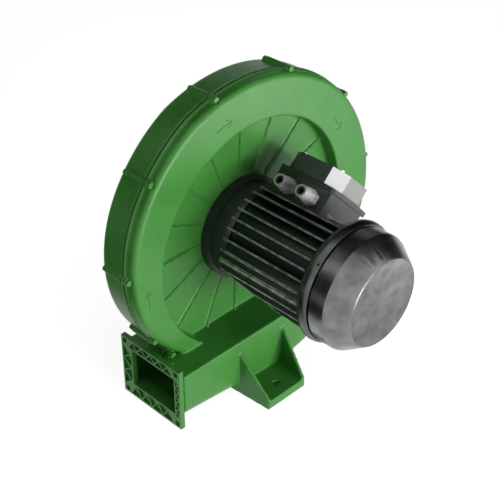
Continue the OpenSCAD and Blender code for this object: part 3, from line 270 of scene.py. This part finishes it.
def coat_solid(node, material):
    """A CAD solid that stays in the picture gets its finish."""
    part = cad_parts[node]
    part.data.materials.clear()
    part.data.materials.append(material)


put_in_place(rounded_copy("inlet_flange", 0.0006), "inlet_flange", "housing_and_motor",
             green_enamel)

# Zinc plate: a bright, slightly cloudy blue-grey.
zinc_steel, tree, place = start_material("zinc_plated_steel")
cloud = add(tree, "ShaderNodeTexNoise", {"Vector": place, "Scale": 1 / 0.004, "Detail": 3.0})
tint = add(tree, "ShaderNodeValToRGB", {"Fac": cloud.outputs["Fac"]})
tint.color_ramp.elements[0].position, tint.color_ramp.elements[0].color = 0.35, linear("#aeb3b8")
tint.color_ramp.elements[1].position, tint.color_ramp.elements[1].color = 0.7, linear("#c9cccf")
grain = add(tree, "ShaderNodeTexNoise", {"Vector": place, "Scale": 1 / 0.0005, "Detail": 2.0})
marks = add(tree, "ShaderNodeBump", {"Height": grain.outputs["Fac"], "Strength": 0.15, "Distance": 0.00005})
add(tree, "ShaderNodeOutputMaterial", {"Surface": add(tree, "ShaderNodeBsdfPrincipled", {
    "Base Color": tint.outputs[0], "Metallic": 1.0, "Roughness": 0.32,
    "Normal": marks.outputs[0]}).outputs[0]})
coat_solid("inlet_screws", zinc_steel)


# Impeller. Discs and blades of rolled aluminium sheet, a turned aluminium hub and rivets. The
# sheet keeps its fine rolling lines. Washer, screw and key are plated steel.
# Rolled sheet: a silky grey with fine lines along the sheet.
rolled_aluminium, tree, place = start_material("rolled_aluminium_sheet")
along = add(tree, "ShaderNodeMapping", {"Vector": place, "Scale": (1, 1, 40)})
lines = add(tree, "ShaderNodeTexNoise", {"Vector": along.outputs[0], "Scale": 1 / 0.012, "Detail": 4.0})
tint = add(tree, "ShaderNodeValToRGB", {"Fac": lines.outputs["Fac"]})
tint.color_ramp.elements[0].position, tint.color_ramp.elements[0].color = 0.3, linear("#b9bcbf")
tint.color_ramp.elements[1].position, tint.color_ramp.elements[1].color = 0.7, linear("#d2d4d6")
shine = add(tree, "ShaderNodeMapRange", {"Value": lines.outputs["Fac"], "To Min": 0.28, "To Max": 0.42})
add(tree, "ShaderNodeOutputMaterial", {"Surface": add(tree, "ShaderNodeBsdfPrincipled", {
    "Base Color": tint.outputs[0], "Metallic": 1.0, "Roughness": shine.outputs[0]}).outputs[0]})
for node in ("impeller_backplate", "impeller_blades", "impeller_shroud", "impeller_hub", "impeller_rivets"):
    coat_solid(node, rolled_aluminium)
for node in ("impeller_washer", "impeller_screw", "impeller_key"):
    coat_solid(node, zinc_steel)


# Gasket between the halves. Dark pressed fibre sheet, die-cut, with a fine felted speckle; only
# its edge shows, as the dark line between the two lips.
# Pressed fibre: dull and almost black, with a felted speckle.
pressed_fibre, tree, place = start_material("pressed_fibre_sheet")
felt = add(tree, "ShaderNodeTexNoise", {"Vector": place, "Scale": 1 / 0.0009, "Detail": 5.0})
tint = add(tree, "ShaderNodeValToRGB", {"Fac": felt.outputs["Fac"]})
tint.color_ramp.elements[0].position, tint.color_ramp.elements[0].color = 0.35, linear("#20251d")
tint.color_ramp.elements[1].position, tint.color_ramp.elements[1].color = 0.7, linear("#363c30")
add(tree, "ShaderNodeOutputMaterial", {"Surface": add(tree, "ShaderNodeBsdfPrincipled", {
    "Base Color": tint.outputs[0], "Roughness": 0.85}).outputs[0]})
coat_solid("housing_gasket", pressed_fibre)


# Front half of the housing. The same casting with the sunk, ribbed floor that carries the motor,
# the bulge of the duct and the front foot. Small arrows for the sense of rotation are cast on
# its ring. The bolts go through the bosses of both halves and were sprayed over with them.
filleted_casting("front_housing", green_enamel)
for node in ("housing_bolts", "housing_nuts"):
    coat_solid(node, green_enamel)

ring_to_frame = 0.011
ring_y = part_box("motor_frame")[1].y + ring_to_frame
arrow_radius = 0.207
barb = 0.007
line_thickness = 0.0008


def cast_line(name, points):
    """A raised line on the ring's face, through points given as (radius, angle in degrees)."""
    curve = bpy.data.curves.new(name, "CURVE")
    curve.dimensions = "3D"
    curve.bevel_depth, curve.bevel_resolution = line_thickness, 3
    curve.use_fill_caps = True
    line = curve.splines.new("POLY")
    line.points.add(len(points) - 1)
    for point, (radius, angle) in zip(line.points, points):
        a = math.radians(angle)
        point.co = (radius * math.cos(a), ring_y, radius * math.sin(a), 1)
    piece = bpy.data.objects.new(name, curve)
    bpy.context.scene.collection.objects.link(piece)
    curve.materials.append(green_enamel)
    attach(piece, "housing_and_motor")


for i, middle in enumerate((34.0, 107.0, 184.0)):
    tip = middle - 4
    cast_line("rotation_arrow_%d_shaft" % i, [(arrow_radius, tip + step) for step in range(9)])
    cast_line("rotation_arrow_%d_head" % i, [
        (arrow_radius + barb, tip + 2.5), (arrow_radius, tip), (arrow_radius - barb, tip + 2.5)])


# Outlet flange. A cast plate with a thin spigot in the duct's end; its face is lightened by
# triangular pockets, and its edges are rounded where the pattern was drawn from the sand.
put_in_place(rounded_copy("outlet_flange", 0.0006), "outlet_flange", "housing_and_motor",
             green_enamel)
coat_solid("outlet_flange_screws", green_enamel)


# Motor frame and shields. Pressure-cast aluminium with straight fins and a dark grey-green
# satin enamel; the rounded edges of the fins are painted light, as a painted highlight.
# Satin enamel: a dark grey-green with a soft shine and a little orange-peel.
dark_enamel, tree, place = start_material("dark_satin_enamel_on_pressure_casting")
clouds = add(tree, "ShaderNodeTexNoise", {"Vector": place, "Scale": 1 / 0.03, "Detail": 3.0})
tint = add(tree, "ShaderNodeValToRGB", {"Fac": clouds.outputs["Fac"]})
tint.color_ramp.elements[0].position, tint.color_ramp.elements[0].color = 0.3, linear("#1b211d")
tint.color_ramp.elements[1].position, tint.color_ramp.elements[1].color = 0.7, linear("#232a25")
peel = add(tree, "ShaderNodeTexNoise", {"Vector": place, "Scale": 1 / 0.0012, "Detail": 2.0})
coat = add(tree, "ShaderNodeBump", {"Height": peel.outputs["Fac"], "Strength": 0.2, "Distance": 0.0001})
add(tree, "ShaderNodeOutputMaterial", {"Surface": add(tree, "ShaderNodeBsdfPrincipled", {
    "Base Color": tint.outputs[0], "Roughness": 0.38, "IOR": 1.5, "Normal": coat.outputs[0]}).outputs[0]})
for node in ("drive_end_shield", "motor_frame", "fan_end_shield"):
    put_in_place(rounded_copy(node, 0.0007), node, "housing_and_motor", dark_enamel)

# The same enamel with a painted highlight: light, broken lines along the fins' rounded edges.
fin_edge_highlight_enamel, tree, place = start_material("dark_enamel_with_painted_highlight_on_fin_edges")
highlight_streaks = add(tree, "ShaderNodeTexNoise", {"Vector": place, "Scale": 1 / 0.012, "Detail": 4.0})
tint = add(tree, "ShaderNodeValToRGB", {"Fac": highlight_streaks.outputs["Fac"]})
tint.color_ramp.elements[0].position, tint.color_ramp.elements[0].color = 0.35, linear("#6c726d")
tint.color_ramp.elements[1].position, tint.color_ramp.elements[1].color = 0.62, linear("#c6c9c6")
add(tree, "ShaderNodeOutputMaterial", {"Surface": add(tree, "ShaderNodeBsdfPrincipled", {
    "Base Color": tint.outputs[0], "Roughness": 0.34, "IOR": 1.5}).outputs[0]})
fin_round = 0.0009
shortest_fin = 0.05
barrel_radius = 0.0705
finned = bpy.data.objects["motor_frame_rounded"].data
finned.materials.append(fin_edge_highlight_enamel)
# The long fin edges are bevelled and given the light material, a painted highlight along each fin.
work = bmesh.new()
work.from_mesh(finned)
tips = [e for e in work.edges if e.calc_length() > shortest_fin and e.calc_face_angle(0) > sharp_fold
        and min(math.hypot(v.co.x, v.co.z) for v in e.verts) > barrel_radius]
bmesh.ops.bevel(work, geom=tips, offset=fin_round, segments=3, profile=0.5, affect="EDGES",
                clamp_overlap=False, material=1)
work.to_mesh(finned)
work.free()
finned.set_sharp_from_angle(angle=sharp_fold)
for node in ("flange_bolts", "shield_screws"):
    coat_solid(node, zinc_steel)


# Inside the motor. Ground shaft and bearings, brass cages, stacked core sheets, the cast cage of
# the rotor and varnished copper coils, each seen only where the motor is opened.
# Ground steel: an even, hard shine with fine rings round the shaft.
turned_steel, tree, place = start_material("turned_and_ground_steel")
lines = add(tree, "ShaderNodeTexNoise", {"Vector": add(tree, "ShaderNodeMapping", {
    "Vector": place, "Scale": (1, 30, 1)}).outputs[0], "Scale": 1 / 0.01, "Detail": 4.0})
shine = add(tree, "ShaderNodeMapRange", {"Value": lines.outputs["Fac"], "To Min": 0.15, "To Max": 0.3})
tint = add(tree, "ShaderNodeValToRGB", {"Fac": lines.outputs["Fac"]})
tint.color_ramp.elements[0].position, tint.color_ramp.elements[0].color = 0.3, linear("#a5a8ab")
tint.color_ramp.elements[1].position, tint.color_ramp.elements[1].color = 0.7, linear("#bfc2c4")
add(tree, "ShaderNodeOutputMaterial", {"Surface": add(tree, "ShaderNodeBsdfPrincipled", {
    "Base Color": tint.outputs[0], "Metallic": 1.0, "Roughness": shine.outputs[0]}).outputs[0]})
for node in ("motor_shaft", "wave_spring", "drive_bearing_outer_ring", "drive_bearing_inner_ring",
             "drive_bearing_balls", "fan_bearing_outer_ring", "fan_bearing_inner_ring", "fan_bearing_balls"):
    coat_solid(node, turned_steel)

# Machined brass: yellow and bright with a faint haze.
machined_brass, tree, place = start_material("machined_brass")
haze = add(tree, "ShaderNodeTexNoise", {"Vector": place, "Scale": 1 / 0.003, "Detail": 3.0})
tint = add(tree, "ShaderNodeValToRGB", {"Fac": haze.outputs["Fac"]})
tint.color_ramp.elements[0].position, tint.color_ramp.elements[0].color = 0.3, linear("#b39150")
tint.color_ramp.elements[1].position, tint.color_ramp.elements[1].color = 0.7, linear("#cdae6a")
add(tree, "ShaderNodeOutputMaterial", {"Surface": add(tree, "ShaderNodeBsdfPrincipled", {
    "Base Color": tint.outputs[0], "Metallic": 1.0, "Roughness": 0.3}).outputs[0]})
for node in ("drive_bearing_cage", "fan_bearing_cage"):
    coat_solid(node, machined_brass)

# Stacked sheets: dark grey, with the sheets' edges as fine bands; they are drawn about six times
# too coarse, so that they show.
core_sheets, tree, place = start_material("stacked_core_sheets")
sheets = add(tree, "ShaderNodeTexWave", {"Vector": place, "Scale": 1 / 0.0031, "Distortion": 0.3},
             bands_direction="Y")
tint = add(tree, "ShaderNodeValToRGB", {"Fac": sheets.outputs["Fac"]})
tint.color_ramp.elements[0].color, tint.color_ramp.elements[1].color = linear("#4e4e50"), linear("#77777a")
add(tree, "ShaderNodeOutputMaterial", {"Surface": add(tree, "ShaderNodeBsdfPrincipled", {
    "Base Color": tint.outputs[0], "Metallic": 1.0, "Roughness": 0.5}).outputs[0]})
for node in ("rotor_core", "stator_core"):
    coat_solid(node, core_sheets)

# Bare casting: a matt silver grain.
bare_casting, tree, place = start_material("bare_cast_aluminium")
grain = add(tree, "ShaderNodeTexNoise", {"Vector": place, "Scale": 1 / 0.001, "Detail": 4.0})
tint = add(tree, "ShaderNodeValToRGB", {"Fac": grain.outputs["Fac"]})
tint.color_ramp.elements[0].position, tint.color_ramp.elements[0].color = 0.3, linear("#9fa1a3")
tint.color_ramp.elements[1].position, tint.color_ramp.elements[1].color = 0.7, linear("#bcbec0")
add(tree, "ShaderNodeOutputMaterial", {"Surface": add(tree, "ShaderNodeBsdfPrincipled", {
    "Base Color": tint.outputs[0], "Metallic": 1.0, "Roughness": 0.5}).outputs[0]})
coat_solid("rotor_end_rings", bare_casting)

# Varnished wire: red-brown strands with a wet shine, drawn coarser than the wire so that they show.
varnished_wire, tree, place = start_material("varnished_copper_wire")
turns = add(tree, "ShaderNodeTexWave", {
    "Vector": place, "Scale": 1 / 0.005, "Distortion": 2.0, "Detail": 2.0}, bands_direction="DIAGONAL")
tint = add(tree, "ShaderNodeValToRGB", {"Fac": turns.outputs["Fac"]})
tint.color_ramp.elements[0].color, tint.color_ramp.elements[1].color = linear("#6d3115"), linear("#a9552a")
strands = add(tree, "ShaderNodeBump", {"Height": turns.outputs["Fac"], "Strength": 0.5, "Distance": 0.0004})
add(tree, "ShaderNodeOutputMaterial", {"Surface": add(tree, "ShaderNodeBsdfPrincipled", {
    "Base Color": tint.outputs[0], "Roughness": 0.25, "IOR": 1.5,
    "Normal": strands.outputs[0]}).outputs[0]})
coat_solid("stator_windings", varnished_wire)

# Moulded rubber: matt and black with a slight bloom.
black_rubber, tree, place = start_material("moulded_nitrile_rubber")
bloom = add(tree, "ShaderNodeTexNoise", {"Vector": place, "Scale": 1 / 0.004, "Detail": 3.0})
tint = add(tree, "ShaderNodeValToRGB", {"Fac": bloom.outputs["Fac"]})
tint.color_ramp.elements[0].position, tint.color_ramp.elements[0].color = 0.3, linear("#121212")
tint.color_ramp.elements[1].position, tint.color_ramp.elements[1].color = 0.7, linear("#1d1d1d")
add(tree, "ShaderNodeOutputMaterial", {"Surface": add(tree, "ShaderNodeBsdfPrincipled", {
    "Base Color": tint.outputs[0], "Roughness": 0.6}).outputs[0]})
coat_solid("shaft_seal", black_rubber)


# Cooling fan, its circlip and the cowl's ring. The fan is moulded in black polyamide with a
# slight haze. The ring is a black enamelled casting with a bulged shoulder.
# Moulded polyamide: black, with a haze that varies a little.
black_polyamide, tree, place = start_material("moulded_black_polyamide")
haze = add(tree, "ShaderNodeTexNoise", {"Vector": place, "Scale": 1 / 0.006, "Detail": 3.0})
shine = add(tree, "ShaderNodeMapRange", {"Value": haze.outputs["Fac"], "To Min": 0.4, "To Max": 0.6})
add(tree, "ShaderNodeOutputMaterial", {"Surface": add(tree, "ShaderNodeBsdfPrincipled", {
    "Base Color": linear("#161616"), "Roughness": shine.outputs[0]}).outputs[0]})
coat_solid("cooling_fan", black_polyamide)
coat_solid("fan_circlip", zinc_steel)

# Black metallic enamel: it mirrors the studio as dark and light bands.
black_enamel, tree, place = start_material("black_enamel_on_turned_casting")
clouds = add(tree, "ShaderNodeTexNoise", {"Vector": place, "Scale": 1 / 0.025, "Detail": 4.0})
tint = add(tree, "ShaderNodeValToRGB", {"Fac": clouds.outputs["Fac"]})
tint.color_ramp.elements[0].position, tint.color_ramp.elements[0].color = 0.3, linear("#4a4b4b")
tint.color_ramp.elements[1].position, tint.color_ramp.elements[1].color = 0.7, linear("#666767")
peel = add(tree, "ShaderNodeTexNoise", {"Vector": place, "Scale": 1 / 0.002, "Detail": 2.0})
coat = add(tree, "ShaderNodeBump", {"Height": peel.outputs["Fac"], "Strength": 0.15, "Distance": 0.0001})
shine = add(tree, "ShaderNodeMapRange", {"Value": clouds.outputs["Fac"], "To Min": 0.26, "To Max": 0.4})
add(tree, "ShaderNodeOutputMaterial", {"Surface": add(tree, "ShaderNodeBsdfPrincipled", {
    "Base Color": tint.outputs[0], "Metallic": 1.0, "Roughness": shine.outputs[0],
    "Normal": coat.outputs[0]}).outputs[0]})
put_in_place(rounded_copy("cowl_ring", 0.0008), "cowl_ring", "housing_and_motor", black_enamel)


# Fan cowl. Spun from sheet: a cylindrical band, a cone and a closed end. The sides have the black
# enamel; the end disc is worn to a mottled grey with faint brushed rings and a lighter rim.
end_radius = 0.0655
end_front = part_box("fan_cowl")[0].y + 0.0012
# Spun sheet: banded dark sides and a mottled grey end with rings of the brush.
spun_cowl, tree, place = start_material("spun_cowl_black_sides_and_brushed_grey_end")
clouds = add(tree, "ShaderNodeTexNoise", {"Vector": place, "Scale": 1 / 0.025, "Detail": 4.0})
sides = add(tree, "ShaderNodeValToRGB", {"Fac": clouds.outputs["Fac"]})
sides.color_ramp.elements[0].position, sides.color_ramp.elements[0].color = 0.3, linear("#676868")
sides.color_ramp.elements[1].position, sides.color_ramp.elements[1].color = 0.7, linear("#878888")
across = add(tree, "ShaderNodeVectorMath", {0: place, 1: (1, 0, 1)}, operation="MULTIPLY")
radius = add(tree, "ShaderNodeVectorMath", {0: across.outputs[0]}, operation="LENGTH")
blots = add(tree, "ShaderNodeTexNoise", {
    "Vector": place, "Scale": 1 / 0.022, "Detail": 8.0, "Roughness": 0.62})
grey = add(tree, "ShaderNodeValToRGB", {"Fac": blots.outputs["Fac"]})
grey.color_ramp.elements[0].position, grey.color_ramp.elements[0].color = 0.3, linear("#474847")
grey.color_ramp.elements[1].position, grey.color_ramp.elements[1].color = 0.72, linear("#6b6c6b")
outwards = add(tree, "ShaderNodeMath", {0: radius.outputs["Value"], 1: 1 / 0.0012}, operation="MULTIPLY")
brushed = add(tree, "ShaderNodeTexNoise", {"W": outwards.outputs[0], "Scale": 1.0, "Detail": 2.0},
              noise_dimensions="1D")
inside = add(tree, "ShaderNodeMath", {0: radius.outputs["Value"], 1: end_radius}, operation="LESS_THAN")
low = add(tree, "ShaderNodeMath", {
    0: add(tree, "ShaderNodeSeparateXYZ", {0: place}).outputs["Y"], 1: end_front}, operation="LESS_THAN")
on_end = add(tree, "ShaderNodeMath", {0: inside.outputs[0], 1: low.outputs[0]}, operation="MULTIPLY")
turned = add(tree, "ShaderNodeMath", {
    0: brushed.outputs["Fac"], 1: on_end.outputs[0]}, operation="MULTIPLY")
rings = add(tree, "ShaderNodeBump", {"Height": turned.outputs[0], "Strength": 0.06, "Distance": 0.0001})
tint = add(tree, "ShaderNodeMix", {"Factor": on_end.outputs[0], 6: sides.outputs[0], 7: grey.outputs[0]},
           data_type="RGBA")
shine = add(tree, "ShaderNodeMapRange", {"Value": on_end.outputs[0], "To Min": 0.3, "To Max": 0.5})
add(tree, "ShaderNodeOutputMaterial", {"Surface": add(tree, "ShaderNodeBsdfPrincipled", {
    "Base Color": tint.outputs[2], "Metallic": 1.0, "Roughness": shine.outputs[0],
    "Normal": rings.outputs[0]}).outputs[0]})
put_in_place(rounded_copy("fan_cowl", 0.0012), "fan_cowl", "housing_and_motor", spun_cowl)
coat_solid("cowl_screws", black_enamel)


# Terminal box. The base is cast and enamelled with the frame. The lid is a grey casting whose
# colour follows the way its faces turn: painted light on its end and cut corners, painted shade on its long
# sides.
put_in_place(rounded_copy("terminal_box_base", 0.0007), "terminal_box_base", "housing_and_motor",
             dark_enamel)
coat_solid("terminal_box_gasket", black_rubber)

# Colour set by the way each face turns: a painted highlight, almost white, on the cut corners, painted light
# grey on the end and painted shade, dark, on the sides.
lid_painted_light_by_facing, tree, place = start_material("grey_casting_with_painted_light_and_shade_by_facing")
towards = add(tree, "ShaderNodeSeparateXYZ", {0: add(tree, "ShaderNodeNewGeometry", {}).outputs["Normal"]})
facing = add(tree, "ShaderNodeMath", {0: towards.outputs["Y"], 1: -1.0}, operation="MULTIPLY")
speckle = add(tree, "ShaderNodeTexNoise", {"Vector": place, "Scale": 1 / 0.004, "Detail": 4.0})
# Faces turned towards -Y get painted light; the other faces get painted shade.
tint = add(tree, "ShaderNodeValToRGB", {"Fac": facing.outputs[0]})
tint.color_ramp.elements[0].position, tint.color_ramp.elements[0].color = 0.3, linear("#353e38")
tint.color_ramp.elements[1].position, tint.color_ramp.elements[1].color = 0.5, linear("#dcdcdf")
tint.color_ramp.elements.new(0.78).color = linear("#dcdcdf")
tint.color_ramp.elements.new(0.92).color = linear("#80807d")
mottle = add(tree, "ShaderNodeMix", {"Factor": 0.25, 6: tint.outputs[0], 7: speckle.outputs["Color"]},
             data_type="RGBA", blend_type="SOFT_LIGHT")
add(tree, "ShaderNodeOutputMaterial", {"Surface": add(tree, "ShaderNodeBsdfPrincipled", {
    "Base Color": mottle.outputs[2], "Roughness": 0.45, "IOR": 1.5}).outputs[0]})
put_in_place(rounded_copy("terminal_box_lid", 0.0008), "terminal_box_lid", "housing_and_motor",
             lid_painted_light_by_facing)
coat_solid("lid_screws", zinc_steel)

# Pressed phenolic: brown with darker flecks.
phenolic, tree, place = start_material("pressed_phenolic_board")
flecks = add(tree, "ShaderNodeTexNoise", {"Vector": place, "Scale": 1 / 0.002, "Detail": 5.0})
tint = add(tree, "ShaderNodeValToRGB", {"Fac": flecks.outputs["Fac"]})
tint.color_ramp.elements[0].position, tint.color_ramp.elements[0].color = 0.35, linear("#4a2a1b")
tint.color_ramp.elements[1].position, tint.color_ramp.elements[1].color = 0.7, linear("#6a3f28")
add(tree, "ShaderNodeOutputMaterial", {"Surface": add(tree, "ShaderNodeBsdfPrincipled", {
    "Base Color": tint.outputs[0], "Roughness": 0.4}).outputs[0]})
coat_solid("terminal_board", phenolic)
for node in ("terminal_studs", "terminal_links", "earth_screw"):
    coat_solid(node, machined_brass)


# Cable glands. Turned brass with a dull nickel plate, with rounded hexagons, a domed nut and a
# rubber seal inside.
# Dull nickel plate: a soft grey without a clear reflection.
dull_nickel, tree, place = start_material("dull_nickel_plate_on_turned_brass")
haze = add(tree, "ShaderNodeTexNoise", {"Vector": place, "Scale": 1 / 0.003, "Detail": 4.0})
tint = add(tree, "ShaderNodeValToRGB", {"Fac": haze.outputs["Fac"]})
tint.color_ramp.elements[0].position, tint.color_ramp.elements[0].color = 0.3, linear("#8e8e8e")
tint.color_ramp.elements[1].position, tint.color_ramp.elements[1].color = 0.7, linear("#acacac")
add(tree, "ShaderNodeOutputMaterial", {"Surface": add(tree, "ShaderNodeBsdfPrincipled", {
    "Base Color": tint.outputs[0], "Metallic": 0.0, "Roughness": 0.48, "IOR": 1.5}).outputs[0]})
for node in ("gland_bodies", "gland_nuts"):
    put_in_place(rounded_copy(node, 0.0006), node, "housing_and_motor", dull_nickel)
coat_solid("gland_seals", black_rubber)
